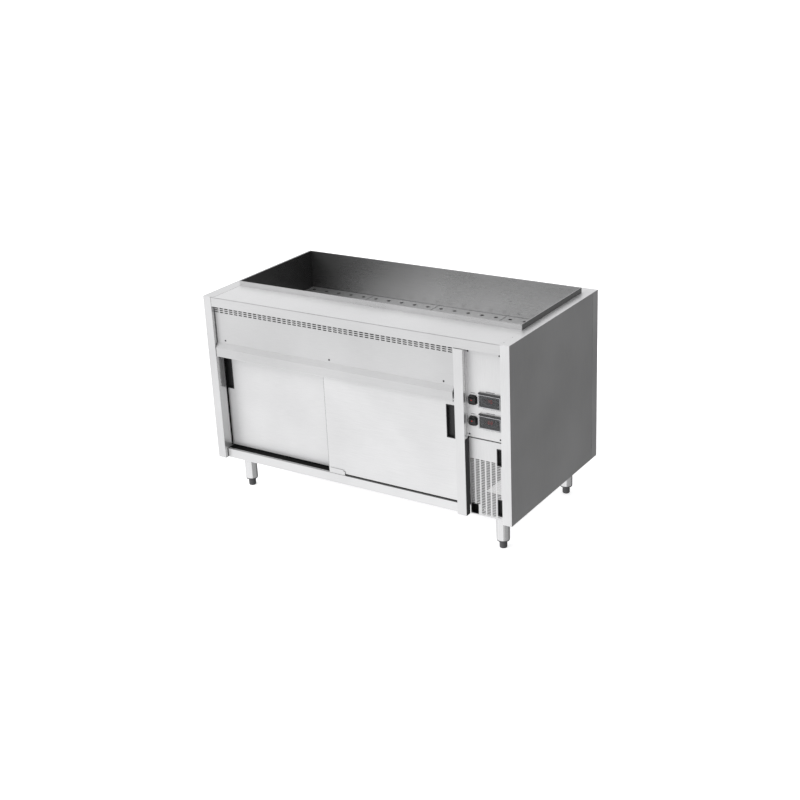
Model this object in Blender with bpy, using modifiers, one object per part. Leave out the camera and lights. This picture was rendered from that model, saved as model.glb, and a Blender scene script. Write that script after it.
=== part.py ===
"""Food holding cabinet: a four-module heated well over a hot cupboard with two sliding doors.

Places are written as distance from the left side (x), behind the front face (y) and above the
floor (z), in metres. world() moves them to the cabinet's own frame, whose origin is on the floor
under the middle of the cabinet, with the front facing -Y.
"""
import math

import bmesh
import bpy
from mathutils import Matrix, Vector

# ---------------------------------------------------------------- driving dimensions
WIDTH = 1.466
DEPTH = 0.765
BENCH_HEIGHT = 0.900
BODY_BOTTOM = 0.156
SHEET = 0.0012
GAP = 0.0003
JOINT = 0.0016              # an open joint that shows as a dark line

POST = 0.040                # front posts, folded from the side panels
POST_RETURN = 0.046         # how far a post folds back into the cabinet
LEFT_FLANGE = 0.055         # folded top of the left side panel
FLANGE_STEP = 0.009         # the left flange widens this far behind the front
BACK_WRAP = 0.048           # the back panel turns round both rear corners

APRON_BOTTOM = 0.858
FASCIA_Y = 0.017
FASCIA_LEFT = 0.044
FASCIA_RIGHT = 1.220
HOOD_TOP = 0.695
HOOD_EDGE = 0.6725
HOOD_BOTTOM = 0.6335
HOOD_Y = 0.002
HOOD_RIGHT = 1.2145          # the hood stops short of the divider post

DIVIDER_LEFT = 1.223
DIVIDER_RIGHT = 1.264
DIVIDER_TOP = 0.855
DIVIDER_RETURN = 0.017
JAMB_DEPTH = 0.090

WELL_LEFT = 0.0569
WELL_RIGHT = 1.4241
WELL_FRONT = 0.178
WELL_BACK = 0.698
WELL_BOTTOM = 0.700
WELL_RIM = 0.922
WELL_WALL = 0.0015
RIM_HEM = 0.004             # the rim is folded double, outwards
RIM_HEM_DEPTH = 0.026
PLATE_TOP = 0.753
PLATE_COUNT = 4
PLATE_SEAM = 0.0030
PLATE_MARGIN = 0.0028
PLATE_HOLES = 5
PLATE_HOLE_R = 0.009
PLATE_HOLE_INSET = 0.035

VENT_CELLS = 46
VENT_FIRST_X = 0.0451
VENT_PITCH = 0.02548
VENT_WIDTH = 0.0178
VENT_ROWS = (0.8307, 0.8392, 0.8477)
VENT_SLOT = 0.0042

RAIL_TOP = 0.1965
RAIL_DEPTH = 0.040

DOOR_BOTTOM = 0.2036
DOOR_TOP = 0.650
DOOR_THICK = 0.025
DOORS = {                   # left edge, right edge, front face, handle left edge
    "left": (0.022, 0.657, 0.057, 0.0375),
    "right": (0.587, 1.222, 0.023, 1.1715),
}
HANDLE_WIDTH = 0.0380
HANDLE_Z = (0.4705, 0.6100)
HANDLE_DEPTH = 0.011
RUNNER_STEM = 0.002
RUNNER_HEAD = 0.006
TRACK_LIP = 0.661

LINER_LEFT = 0.040
LINER_RIGHT = 1.222
LINER_FRONT = 0.088
LINER_BACK = 0.735
LINER_TOP = 0.690
LINER_FLOOR = 0.1982
SHELF_TOP = 0.420

FAN_Y = 0.480
FAN_Z = 0.300

PANEL_Y = 0.030
PANEL_LEFT = 1.2658
PANEL_RIGHT = 1.4242
PANEL_SPLIT = 0.4875
SWITCH_X = 1.289
SWITCH_Z = (0.6465, 0.5597)
CONTROL_X = 1.3655
CONTROL_HALF = 0.049
CONTROL_Z = (0.6535, 0.5665)

SLOT_COLUMNS = 6
SLOT_FIRST_X = 1.2702
SLOT_PITCH_X = 0.0235
SLOT_WIDTH = 0.0170
SLOT_HEIGHT = 0.0040
SLOT_PITCH_Z = 0.0070
SLOT_TOP_Z = 0.397
SLOT_BOTTOM_Z = 0.163
PULL_LEFT = 1.389
PULL_WIDTH = 0.024
PULLS = {"upper": (0.388, 0.460), "lower": (0.172, 0.245)}
PORT = (1.2715, 1.3015, 0.163, 0.204)     # x0, x1, z0, z1 of the drain valve's opening

DRAIN_X = 1.287
DRAIN_Y = 0.078

LEG_INSET_X = 0.094
LEG_INSET_Y = 0.100
LEG_RADIUS = 0.0270
LEG_BOTTOM = 0.0388

# ---------------------------------------------------------------- clean start, collections
for old in list(bpy.data.objects):
    bpy.data.objects.remove(old, do_unlink=True)

PARTS = bpy.data.collections.new("food_holding_cabinet")
CUTTERS = bpy.data.collections.new("cutters")
bpy.context.scene.collection.children.link(PARTS)
bpy.context.scene.collection.children.link(CUTTERS)

FINISHES = {                # colour, roughness, metallic
    "steel": ((0.66, 0.67, 0.68), 0.34, 1.0),
    "dark_steel": ((0.40, 0.41, 0.42), 0.36, 1.0),
    "well_steel": ((0.52, 0.53, 0.54), 0.28, 1.0),
    "leg_steel": ((0.75, 0.75, 0.76), 0.22, 1.0),
    "aluminium": ((0.70, 0.71, 0.72), 0.40, 1.0),
    "black_plastic": ((0.02, 0.02, 0.02), 0.45, 0.0),
    "grey_plastic": ((0.16, 0.16, 0.17), 0.50, 0.0),
    "nylon": ((0.09, 0.09, 0.09), 0.55, 0.0),
    "clear_cover": ((0.80, 0.82, 0.84), 0.08, 0.0),
    "element": ((0.25, 0.22, 0.20), 0.45, 1.0),
    "brass": ((0.75, 0.58, 0.30), 0.30, 1.0),
}


def world(x, y, z):
    """A place in the cabinet as a point in its own frame."""
    return Vector((x - WIDTH / 2, y - DEPTH / 2, z))


def node_material(name, finish):
    """A material of the part's own, with one of the finishes above."""
    colour, roughness, metallic = FINISHES[finish]
    material = bpy.data.materials.new(name)
    material.use_nodes = True
    shader = material.node_tree.nodes["Principled BSDF"]
    shader.inputs["Base Color"].default_value = (*colour, 1.0)
    shader.inputs["Roughness"].default_value = roughness
    shader.inputs["Metallic"].default_value = metallic
    material.diffuse_color = (*colour, 1.0)
    return material


def empty(name, place):
    """A parent on a joint's axis for the pieces that move together."""
    holder = bpy.data.objects.new(name, None)
    holder.location = place
    PARTS.objects.link(holder)
    return holder


# ---------------------------------------------------------------- shapes, built in cabinet places
def boxes(*spans):
    """Separate boxes, each given as x0, x1, y0, y1, z0, z1."""
    bm = bmesh.new()
    for x0, x1, y0, y1, z0, z1 in spans:
        size = Matrix.Diagonal((x1 - x0, y1 - y0, z1 - z0, 1.0))
        middle = Matrix.Translation(world((x0 + x1) / 2, (y0 + y1) / 2, (z0 + z1) / 2))
        bmesh.ops.create_cube(bm, size=1.0, matrix=middle @ size)
    return bm


def cylinders(axis, radius, start, end, places, segments=12):
    """Round bars along one axis from start to end, at places in the other two coordinates."""
    bm = bmesh.new()
    turn = {"x": Matrix.Rotation(math.pi / 2, 4, "Y"), "y": Matrix.Rotation(math.pi / 2, 4, "X"),
            "z": Matrix.Identity(4)}[axis]
    for place in places:
        middle = list(place)
        middle.insert("xyz".index(axis), (start + end) / 2)
        bmesh.ops.create_cone(bm, cap_ends=True, segments=segments, radius1=radius, radius2=radius,
                              depth=abs(end - start), matrix=Matrix.Translation(world(*middle)) @ turn)
    return bm


def tray(span, open_side):
    """The open surface of a box with one side left off, for a folded tray."""
    bm = boxes(span)
    axis, sign = {"x": 0, "y": 1, "z": 2}[open_side[1]], 1 if open_side[0] == "+" else -1
    lid = max(bm.faces, key=lambda face: sign * face.calc_center_median()[axis])
    bmesh.ops.delete(bm, geom=[lid], context="FACES_ONLY")
    return bm


def folded(profile, plane, start, end, outside):
    """A sheet's outer surface: a folded profile drawn in a plane and run along the third axis.

    outside says whether the outer face is to the left or right of the profile's direction.
    """
    axes = ["xyz".index(letter) for letter in plane]
    run = 3 - sum(axes)
    bm = bmesh.new()
    line = []
    for a, b in profile:
        place = [0.0, 0.0, 0.0]
        place[axes[0]], place[axes[1]], place[run] = a, b, start
        line.append(bm.verts.new(world(*place)))
    edges = [bm.edges.new(pair) for pair in zip(line, line[1:])]
    made = bmesh.ops.extrude_edge_only(bm, edges=edges)["geom"]
    step = Vector((0, 0, 0))
    step[run] = end - start
    bmesh.ops.translate(bm, vec=step, verts=[item for item in made if isinstance(item, bmesh.types.BMVert)])
    bm.normal_update()
    first = edges[0].link_faces[0]
    along = line[1].co - line[0].co
    side = Vector((0, 0, 0))
    turn = 1 if outside == "left" else -1
    side[axes[0]], side[axes[1]] = -along[axes[1]] * turn, along[axes[0]] * turn
    bmesh.ops.recalc_face_normals(bm, faces=bm.faces)
    if first.normal.dot(side) < 0:
        bmesh.ops.reverse_faces(bm, faces=bm.faces)
    return bm


def turned(profile, centre, steps=24, axis="z"):
    """A solid of revolution's profile as a chain of edges; the Screw modifier turns it."""
    bm = bmesh.new()
    line = [bm.verts.new((radius, 0.0, height)) for radius, height in profile]
    for pair in zip(line, line[1:]):
        bm.edges.new(pair)
    bmesh.ops.remove_doubles(bm, verts=bm.verts, dist=0.00001)
    return {"bm": bm, "centre": world(*centre), "steps": steps, "axis": axis}


# ---------------------------------------------------------------- objects and their modifiers
def link(name, bm, origin, collection):
    """An object from a mesh in the cabinet's frame, with its own origin."""
    bmesh.ops.translate(bm, vec=-origin, verts=bm.verts)
    mesh = bpy.data.meshes.new(name)
    bm.to_mesh(mesh)
    bm.free()
    obj = bpy.data.objects.new(name, mesh)
    obj.location = origin
    collection.objects.link(obj)
    return obj


def boolean(obj, bm, operation):
    """Join a shape to an object or cut it out; the shape stays in the cutters' collection."""
    count = sum(modifier.type == "BOOLEAN" for modifier in obj.modifiers)
    tool = link(f"{obj.name}_{operation.lower()}_{count}", bm, Vector((0, 0, 0)), CUTTERS)
    tool.hide_render = True
    tool.display_type = "WIRE"
    modifier = obj.modifiers.new(f"{operation.lower()}_{count}", "BOOLEAN")
    modifier.operation = operation
    modifier.solver = "EXACT"
    modifier.object = tool


def part(name, finish, bm, sheet=0.0, origin=None, parent=None, join=(), cut=()):
    """One sub-part: an outer surface thickened to sheet, or a solid, then joined and cut."""
    if origin is None:
        corners = [vertex.co for vertex in bm.verts]
        origin = sum(corners, Vector((0, 0, 0))) / len(corners)
    obj = link(name, bm, origin, PARTS)
    obj.data.materials.append(node_material(name, finish))
    if parent is not None:
        obj.parent = parent
        obj.location = origin - parent.location
    if sheet:
        modifier = obj.modifiers.new("sheet", "SOLIDIFY")
        modifier.thickness = sheet
        modifier.offset = -1.0
        modifier.use_even_offset = True
    for shape in join:
        boolean(obj, shape, "UNION")
    for shape in cut:
        boolean(obj, shape, "DIFFERENCE")
    return obj


def turned_part(name, finish, shape, parent=None, join=(), cut=()):
    """One sub-part turned on a lathe from the profile that turned() gives."""
    obj = part(name, finish, shape["bm"], origin=Vector((0, 0, 0)))
    obj.location = shape["centre"]
    if shape["axis"] == "x":
        obj.rotation_euler = (0, math.pi / 2, 0)
    if shape["axis"] == "y":
        obj.rotation_euler = (math.pi / 2, 0, 0)
    if parent is not None:
        obj.parent = parent
        obj.location = shape["centre"] - parent.location
    screw = obj.modifiers.new("turn", "SCREW")
    screw.steps = screw.render_steps = shape["steps"]
    screw.use_merge_vertices = True
    screw.merge_threshold = 0.00005
    screw.use_smooth_shade = True
    for body in join:
        boolean(obj, body, "UNION")
    for body in cut:
        boolean(obj, body, "DIFFERENCE")
    return obj


def rod(name, finish, route, radius, parent=None):
    """A bent rod or pipe along a route of places."""
    curve = bpy.data.curves.new(name, "CURVE")
    curve.dimensions = "3D"
    curve.bevel_depth = radius
    curve.bevel_resolution = 2
    curve.use_fill_caps = True
    spline = curve.splines.new("POLY")
    spline.points.add(len(route) - 1)
    origin = world(*route[0])
    for point, place in zip(spline.points, route):
        point.co = (*(world(*place) - origin), 1.0)
    obj = bpy.data.objects.new(name, curve)
    obj.location = origin
    obj.data.materials.append(node_material(name, finish))
    PARTS.objects.link(obj)
    if parent is not None:
        obj.parent = parent
        obj.location = origin - parent.location
    return obj


def arc(centre, radius, start, end, plane, steps=6):
    """Places along an arc, angles in degrees from the plane's first axis towards its second."""
    places = []
    first, second = ("xyz".index(letter) for letter in plane)
    for index in range(steps + 1):
        angle = math.radians(start + (end - start) * index / steps)
        place = list(centre)
        place[first] += radius * math.cos(angle)
        place[second] += radius * math.sin(angle)
        places.append(tuple(place))
    return places


# ---------------------------------------------------------------- outer body
def side_panels():
    """Side skins with a front post folded back inside, and a folded top."""
    wrap = DEPTH - BACK_WRAP - JOINT
    left = [(POST, POST_RETURN), (POST, 0.0), (0.0, 0.0), (0.0, wrap)]
    right = [(WIDTH - x, y) for x, y in left]
    top = (BENCH_HEIGHT - SHEET, BENCH_HEIGHT)
    bottom = BODY_BOTTOM
    part("left_side_panel", "steel", folded(left, "xy", bottom, BENCH_HEIGHT, "left"), SHEET,
         join=[boxes((0.0, LEFT_FLANGE, FLANGE_STEP, DEPTH, *top)),
               boxes((0.0, POST, 0.0, 2 * FLANGE_STEP, *top))])
    part("right_side_panel", "dark_steel", folded(right, "xy", bottom, BENCH_HEIGHT, "right"), SHEET,
         join=[boxes((WIDTH - POST, WIDTH, 0.0, DEPTH, *top))])


def back_panel():
    """The back, turned round both rear corners, with its top under the worktop."""
    front = DEPTH - BACK_WRAP
    profile = [(0.0, front), (0.0, DEPTH), (WIDTH, DEPTH), (WIDTH, front)]
    top = BENCH_HEIGHT - SHEET - GAP
    part("back_panel", "dark_steel", folded(profile, "xy", BODY_BOTTOM, top, "left"), SHEET)


def base_panel():
    """The bottom sheet, whose front folds up and back as the rail under the doors."""
    left, right = FASCIA_LEFT, FASCIA_RIGHT + 0.0015
    rail = [(RAIL_DEPTH, RAIL_TOP), (FASCIA_Y, RAIL_TOP), (FASCIA_Y, BODY_BOTTOM), (0.200, BODY_BOTTOM)]
    floor = (BODY_BOTTOM, BODY_BOTTOM + SHEET)
    margin = SHEET + GAP
    part("base_panel", "steel", folded(rail, "yz", left, right, "right"), SHEET,
         join=[boxes((margin, WIDTH - margin, 0.096, DEPTH - margin, *floor)),
               boxes((1.2655, 1.4245, 0.046, 0.150, *floor))],
         cut=[cylinders("z", 0.0102, 0.150, 0.165, [(1.250, 0.700)], 20),
              cylinders("z", 0.0165, 0.150, 0.165, [(DRAIN_X, DRAIN_Y)], 20)])


def worktop():
    """The benchtop between the side panels' flanges, with turned-down sides and the well's opening."""
    left, right = LEFT_FLANGE + JOINT, WIDTH - POST - GAP
    under = BENCH_HEIGHT - SHEET
    web = (0.020, DEPTH - 0.002, 0.870, BENCH_HEIGHT - SHEET / 2)
    clear = 0.0003
    part("worktop", "steel", boxes((left, right, 0.0, DEPTH, under, BENCH_HEIGHT)),
         join=[boxes((POST + JOINT, left + 0.010, 0.0, FLANGE_STEP - JOINT, under, BENCH_HEIGHT)),
               boxes((left, left + SHEET, *web), (right - SHEET, right, *web))],
         cut=[boxes((WELL_LEFT - clear, WELL_RIGHT + clear, WELL_FRONT - clear, WELL_BACK + clear,
                     0.860, 0.910))])


def front_apron():
    """The strip under the worktop's front edge, a channel open to the back."""
    top = BENCH_HEIGHT - SHEET - JOINT
    back = FASCIA_Y - 0.0006
    profile = [(back, top), (0.0, top), (0.0, APRON_BOTTOM), (back, APRON_BOTTOM)]
    part("front_apron", "steel", folded(profile, "yz", POST + JOINT, WIDTH - POST - GAP, "right"), SHEET)


def divider_post():
    """The post between the doors and the controls; its left fold is the right door's stop."""
    profile = [(DIVIDER_RIGHT, DIVIDER_RETURN), (DIVIDER_RIGHT, 0.0), (DIVIDER_LEFT, 0.0),
               (DIVIDER_LEFT, JAMB_DEPTH)]
    part("divider_post", "steel", folded(profile, "xy", BODY_BOTTOM, DIVIDER_TOP, "left"), SHEET,
         join=[boxes((DIVIDER_RIGHT - SHEET, DIVIDER_RIGHT, DIVIDER_RETURN - 0.001, PANEL_Y - 0.001,
                      BODY_BOTTOM, PANEL_SPLIT - 0.0005))])


def fascia_panel():
    """The panel above the doors: rows of vent slots, and the sloped hood over the door track."""
    profile = [(FASCIA_Y, 0.893), (FASCIA_Y, HOOD_TOP), (HOOD_Y, HOOD_EDGE), (HOOD_Y, HOOD_BOTTOM),
               (HOOD_Y + 0.012, HOOD_BOTTOM)]
    slots = []
    for cell in range(VENT_CELLS):
        x = VENT_FIRST_X + cell * VENT_PITCH
        for z in VENT_ROWS:
            slots.append((x, x + VENT_WIDTH, FASCIA_Y - 0.005, FASCIA_Y + 0.006,
                          z - VENT_SLOT / 2, z + VENT_SLOT / 2))
    end = (HOOD_RIGHT, FASCIA_RIGHT + 0.005, HOOD_Y - 0.005, FASCIA_Y + 0.003, HOOD_BOTTOM - 0.005, HOOD_TOP)
    part("fascia_panel", "steel", folded(profile, "yz", FASCIA_LEFT, FASCIA_RIGHT, "right"), SHEET,
         cut=[boxes(*slots), boxes(end)])


# ---------------------------------------------------------------- well
def well_tank():
    """The well: a welded tank whose rim is folded double, with a drain hole."""
    fold = RIM_HEM - WELL_WALL

    def block(inset, low, high):
        return boxes((WELL_LEFT + inset, WELL_RIGHT - inset, WELL_FRONT + inset, WELL_BACK - inset, low, high))

    part("well_tank", "well_steel", block(fold, WELL_BOTTOM, WELL_RIM - 0.001),
         join=[block(0.0, WELL_RIM - RIM_HEM_DEPTH, WELL_RIM)],
         cut=[block(RIM_HEM, WELL_BOTTOM + WELL_WALL, WELL_RIM + 0.01),
              cylinders("z", 0.011, 0.690, 0.710, [(DRAIN_X, 0.240)], 16)])


def well_floor_plates():
    """Four perforated plates that stand on the tank's floor on their turned-down edges."""
    inner_left, inner_right = WELL_LEFT + RIM_HEM, WELL_RIGHT - RIM_HEM
    pitch = (inner_right - inner_left) / PLATE_COUNT
    front, back = WELL_FRONT + RIM_HEM + PLATE_MARGIN, WELL_BACK - RIM_HEM - PLATE_MARGIN
    foot = WELL_BOTTOM + WELL_WALL + GAP
    profile = [(front, foot), (front, PLATE_TOP), (back, PLATE_TOP), (back, foot)]
    hole_pitch = pitch / PLATE_HOLES
    for index in range(PLATE_COUNT):
        left = inner_left + index * pitch
        rows = [(left + (hole + 0.5) * hole_pitch, y) for hole in range(PLATE_HOLES)
                for y in (front + PLATE_HOLE_INSET, back - PLATE_HOLE_INSET)]
        middle = world(left + pitch / 2, (front + back) / 2, PLATE_TOP)
        part(f"well_floor_plate_{index + 1}", "well_steel",
             folded(profile, "yz", left + PLATE_SEAM / 2, left + pitch - PLATE_SEAM / 2, "left"),
             WELL_WALL, origin=middle,
             cut=[cylinders("z", PLATE_HOLE_R, PLATE_TOP - 0.004, PLATE_TOP + 0.002, rows, 10)])


def well_element():
    """A sheathed heating element in four runs under the floor plates."""
    z, first, run_gap = 0.724, 0.292, 0.092
    left, right = 0.120, 1.360
    radius = run_gap / 2
    end = WELL_RIGHT - RIM_HEM - GAP
    route = [(end, first, z)]
    for run in range(3):
        y = first + run * run_gap
        if run % 2 == 0:
            route += arc((left + radius, y + radius, z), radius, 270, 90, "xy", 8)
        else:
            route += arc((right - radius, y + radius, z), radius, -90, 90, "xy", 8)
    route.append((end, first + 3 * run_gap, z))
    rod("well_element", "element", route, 0.0042)


# ---------------------------------------------------------------- doors
def doors():
    """Two double-skinned doors; the left one runs behind the right one."""
    lip, head = TRACK_LIP, RUNNER_HEAD
    for side, (left, right, front, handle_left) in DOORS.items():
        holder = empty(f"door_{side}_slide", world((left + right) / 2, front, DOOR_BOTTOM))
        back = front + DOOR_THICK
        split = front + DOOR_THICK / 2
        handle_right = handle_left + HANDLE_WIDTH
        low, high = HANDLE_Z
        inset = 0.002
        window = (handle_left + inset, handle_right - inset, front - 0.005, front + 0.005,
                  low + inset, high - inset)
        part(f"door_{side}_skin", "steel",
             tray((left, right, front, split - GAP, DOOR_BOTTOM, DOOR_TOP), "+y"), SHEET,
             parent=holder, cut=[boxes(window)])
        middle = (split + back) / 2
        stem = (left + 0.040, right - 0.030, middle - RUNNER_STEM, middle + RUNNER_STEM)
        part(f"door_{side}_inner", "steel",
             tray((left, right, split, back, DOOR_BOTTOM, DOOR_TOP), "-y"), SHEET, parent=holder,
             join=[boxes((*stem, DOOR_TOP - SHEET / 2, lip + 0.003)),
                   boxes((stem[0], stem[1], middle - head, middle + head, lip + GAP, lip + 0.005))])
        cup = (handle_left + inset + GAP, handle_right - inset - GAP, front - 0.0008, front + HANDLE_DEPTH,
               low + inset + GAP, high - inset - GAP)
        wall = 0.0015
        hollow = (cup[0] + wall, cup[1] - wall, front - 0.010, cup[3] - wall, cup[4] + wall, cup[5] - wall)
        part(f"door_{side}_handle", "black_plastic", boxes(cup), parent=holder,
             join=[boxes((handle_left, handle_right, front - 0.0014, front - GAP, low, high))],
             cut=[boxes(hollow)])


def door_track():
    """The aluminium head track: one lipped channel for each door."""
    lip, top = TRACK_LIP, TRACK_LIP + 0.011
    left, right = POST + GAP, DIVIDER_LEFT - GAP
    middles = [front + 0.75 * DOOR_THICK for _, _, front, _ in DOORS.values()]
    channel = [(left - 0.01, right + 0.01, middle - 0.0075, middle + 0.0075, lip, lip + 0.0085)
               for middle in middles]
    mouth = [(left - 0.01, right + 0.01, middle - 0.003, middle + 0.003, lip - 0.010, lip + 0.001)
             for middle in middles]
    edge = 0.0095
    part("door_track", "aluminium",
         boxes((left, right, min(middles) - edge, max(middles) + edge, lip - 0.0015, top)),
         cut=[boxes(*channel), boxes(*mouth)])


def door_guide():
    """The guide on the rail that keeps both doors' lower edges in line."""
    left, right = 0.5905, 0.668
    base = RAIL_TOP + GAP
    front, fin, rear = 0.0195, 0.0515, 0.0845
    ear_top, rounding = 0.2200, 0.006
    ear = boxes((left, right, front, front + 0.0015, base, ear_top))
    corner = [edge for edge in ear.edges
              if all(abs(v.co.z - ear_top) < 1e-5 and abs(v.co.x - world(right, 0, 0).x) < 1e-5
                     for v in edge.verts)]
    bmesh.ops.bevel(ear, geom=corner, offset=rounding, segments=4, affect="EDGES")
    part("door_guide", "steel", ear,
         join=[boxes((left + 0.001, right - 0.001, front + 0.0005, rear + 0.0015, base, base + 0.0015)),
               boxes((left + 0.001, right - 0.001, fin, fin + 0.002, base + 0.0005, ear_top),
                     (left + 0.001, right - 0.001, rear, rear + 0.0015 - GAP, base + 0.0005, ear_top))])


# ---------------------------------------------------------------- cupboard lining and shelf
def cupboard_lining():
    """Liner sheets round the cupboard, with ledges for the shelf and a grille for the fan."""
    top = LINER_TOP - 0.0005
    foot = LINER_FLOOR + GAP
    ledge_low, ledge_high = SHELF_TOP - 0.029, SHELF_TOP - 0.025
    left = [(0.003, LINER_FRONT), (LINER_LEFT, LINER_FRONT), (LINER_LEFT, LINER_BACK - 0.001)]
    part("liner_left", "steel", folded(left, "xy", foot, top, "right"), SHEET,
         join=[boxes((LINER_LEFT - SHEET / 2, LINER_LEFT + 0.012, 0.120, 0.700, ledge_low, ledge_high))])
    slots = [(LINER_RIGHT - 0.005, LINER_RIGHT + 0.005, FAN_Y - 0.062 + 0.018 * k,
              FAN_Y - 0.054 + 0.018 * k, FAN_Z - 0.060, FAN_Z + 0.060) for k in range(7)]
    part("liner_right", "steel",
         boxes((LINER_RIGHT, LINER_RIGHT + SHEET, JAMB_DEPTH + 0.002, LINER_BACK - 0.001, foot, top)),
         join=[boxes((LINER_RIGHT - 0.012, LINER_RIGHT + SHEET / 2, 0.120, 0.700, ledge_low, ledge_high))],
         cut=[boxes(*slots)])
    wrapper = [(LINER_FRONT, 0.170), (LINER_FRONT, LINER_FLOOR), (LINER_BACK, LINER_FLOOR),
               (LINER_BACK, LINER_TOP), (LINER_FRONT + 0.004, LINER_TOP)]
    part("liner_wrapper", "steel",
         folded(wrapper, "yz", LINER_LEFT + GAP, LINER_RIGHT - GAP, "left"), SHEET)


def shelf():
    """The shelf half way up the cupboard, on the liners' ledges."""
    part("shelf", "steel",
         tray((LINER_LEFT + 0.002, LINER_RIGHT - 0.002, 0.100, 0.728, SHELF_TOP - 0.0245, SHELF_TOP), "-z"),
         SHEET)


# ---------------------------------------------------------------- fan heater, on the service side
def fan_heater():
    """Hood, heating ring, impeller and motor that blow hot air through the right liner's grille."""
    reach = 0.095
    hood_left, hood_right = LINER_RIGHT + SHEET + GAP, 1.274
    part("fan_hood", "steel",
         tray((hood_left, hood_right, FAN_Y - reach, FAN_Y + reach, FAN_Z - reach, FAN_Z + reach), "-x"),
         SHEET, cut=[cylinders("x", 0.0065, 1.260, 1.290, [(FAN_Y, FAN_Z)], 16)])
    ring_x, ring_r = 1.242, 0.076
    turns = arc((ring_x, FAN_Y, FAN_Z), ring_r, 100, 440, "yz", 20)
    rod("fan_element", "element", turns, 0.0040)
    hub = 1.252
    blades = []
    for index in range(8):
        spin = Matrix.Rotation(index * math.pi / 4, 4, "X")
        blade = boxes((1.2325, 1.2505, FAN_Y + 0.030, FAN_Y + 0.062, FAN_Z - 0.0008, FAN_Z + 0.0008))
        centre = world(0, FAN_Y, FAN_Z)
        centre.x = 0
        move = Matrix.Translation(centre) @ spin @ Matrix.Translation(-centre)
        bmesh.ops.transform(blade, matrix=move, verts=blade.verts)
        blades.append(blade)
    part("fan_impeller", "aluminium", cylinders("x", 0.064, 1.2495, hub, [(FAN_Y, FAN_Z)], 32),
         origin=world(hub, FAN_Y, FAN_Z), join=blades)
    part("fan_motor", "grey_plastic", cylinders("x", 0.036, hood_right + GAP, 1.336, [(FAN_Y, FAN_Z)], 24),
         join=[cylinders("x", 0.0045, hub + GAP, 1.290, [(FAN_Y, FAN_Z)], 12)])


# ---------------------------------------------------------------- control column
def control_panel():
    """The panel that carries the switches and controllers, with its left edge folded forward."""
    profile = [(PANEL_LEFT, DIVIDER_RETURN + 0.0005), (PANEL_LEFT, PANEL_Y), (PANEL_RIGHT, PANEL_Y),
               (PANEL_RIGHT, PANEL_Y + 0.012)]
    through = (PANEL_Y - 0.005, PANEL_Y + 0.005)
    holes = [(SWITCH_X - 0.0128, SWITCH_X + 0.0128, *through, z - 0.0158, z + 0.0158) for z in SWITCH_Z]
    holes += [(CONTROL_X - 0.0355, CONTROL_X + 0.0355, *through, z - 0.0145, z + 0.0145) for z in CONTROL_Z]
    part("control_panel", "steel", folded(profile, "xy", PANEL_SPLIT + 0.0025, 0.880, "right"), SHEET,
         cut=[boxes(*holes)])


def switches():
    """Two rocker switches: a chamfered housing, and a rocker that tips about a level axis."""
    face, seat = PANEL_Y - 0.013, PANEL_Y - GAP
    half_x, half_z, taper = 0.0190, 0.0200, 0.80
    pivot_y, tilt = PANEL_Y - 0.006, math.radians(8)
    for index, z in enumerate(SWITCH_Z, start=1):
        hood = boxes((SWITCH_X - half_x, SWITCH_X + half_x, face, seat, z - half_z, z + half_z))
        corners = [edge for edge in hood.edges if abs(edge.verts[0].co.y - edge.verts[1].co.y) > 0.005]
        bmesh.ops.bevel(hood, geom=corners, offset=0.007, segments=1, affect="EDGES")
        front = [v for v in hood.verts if v.co.y < world(0, face + 0.001, 0).y]
        middle = Matrix.Translation(-world(SWITCH_X, 0, z))
        bmesh.ops.scale(hood, vec=(taper, 1.0, taper), space=middle, verts=front)
        part(f"switch_{index}_housing", "black_plastic", hood,
             join=[boxes((SWITCH_X - 0.0125, SWITCH_X + 0.0125, seat - 0.001, 0.062, z - 0.0155, z + 0.0155))],
             cut=[boxes((SWITCH_X - 0.0098, SWITCH_X + 0.0098, face - 0.005, PANEL_Y + 0.003,
                         z - 0.0138, z + 0.0138))])
        outline = [(-0.0075, 0.0115), (-0.0050, 0.0), (-0.0075, -0.0115), (0.0035, -0.0095), (0.0035, 0.0095)]
        rocker = bmesh.new()
        ring = []
        for y, up in outline:
            turned_y = y * math.cos(tilt) - up * math.sin(tilt)
            turned_z = y * math.sin(tilt) + up * math.cos(tilt)
            ring.append(rocker.verts.new(world(SWITCH_X - 0.0092, pivot_y + turned_y, z + turned_z)))
        side = rocker.faces.new(ring)
        grown = bmesh.ops.extrude_face_region(rocker, geom=[side])["geom"]
        bmesh.ops.translate(rocker, vec=(0.0184, 0, 0),
                            verts=[item for item in grown if isinstance(item, bmesh.types.BMVert)])
        bmesh.ops.recalc_face_normals(rocker, faces=rocker.faces)
        part(f"switch_{index}_rocker", "black_plastic", rocker, origin=world(SWITCH_X, pivot_y, z))


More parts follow.
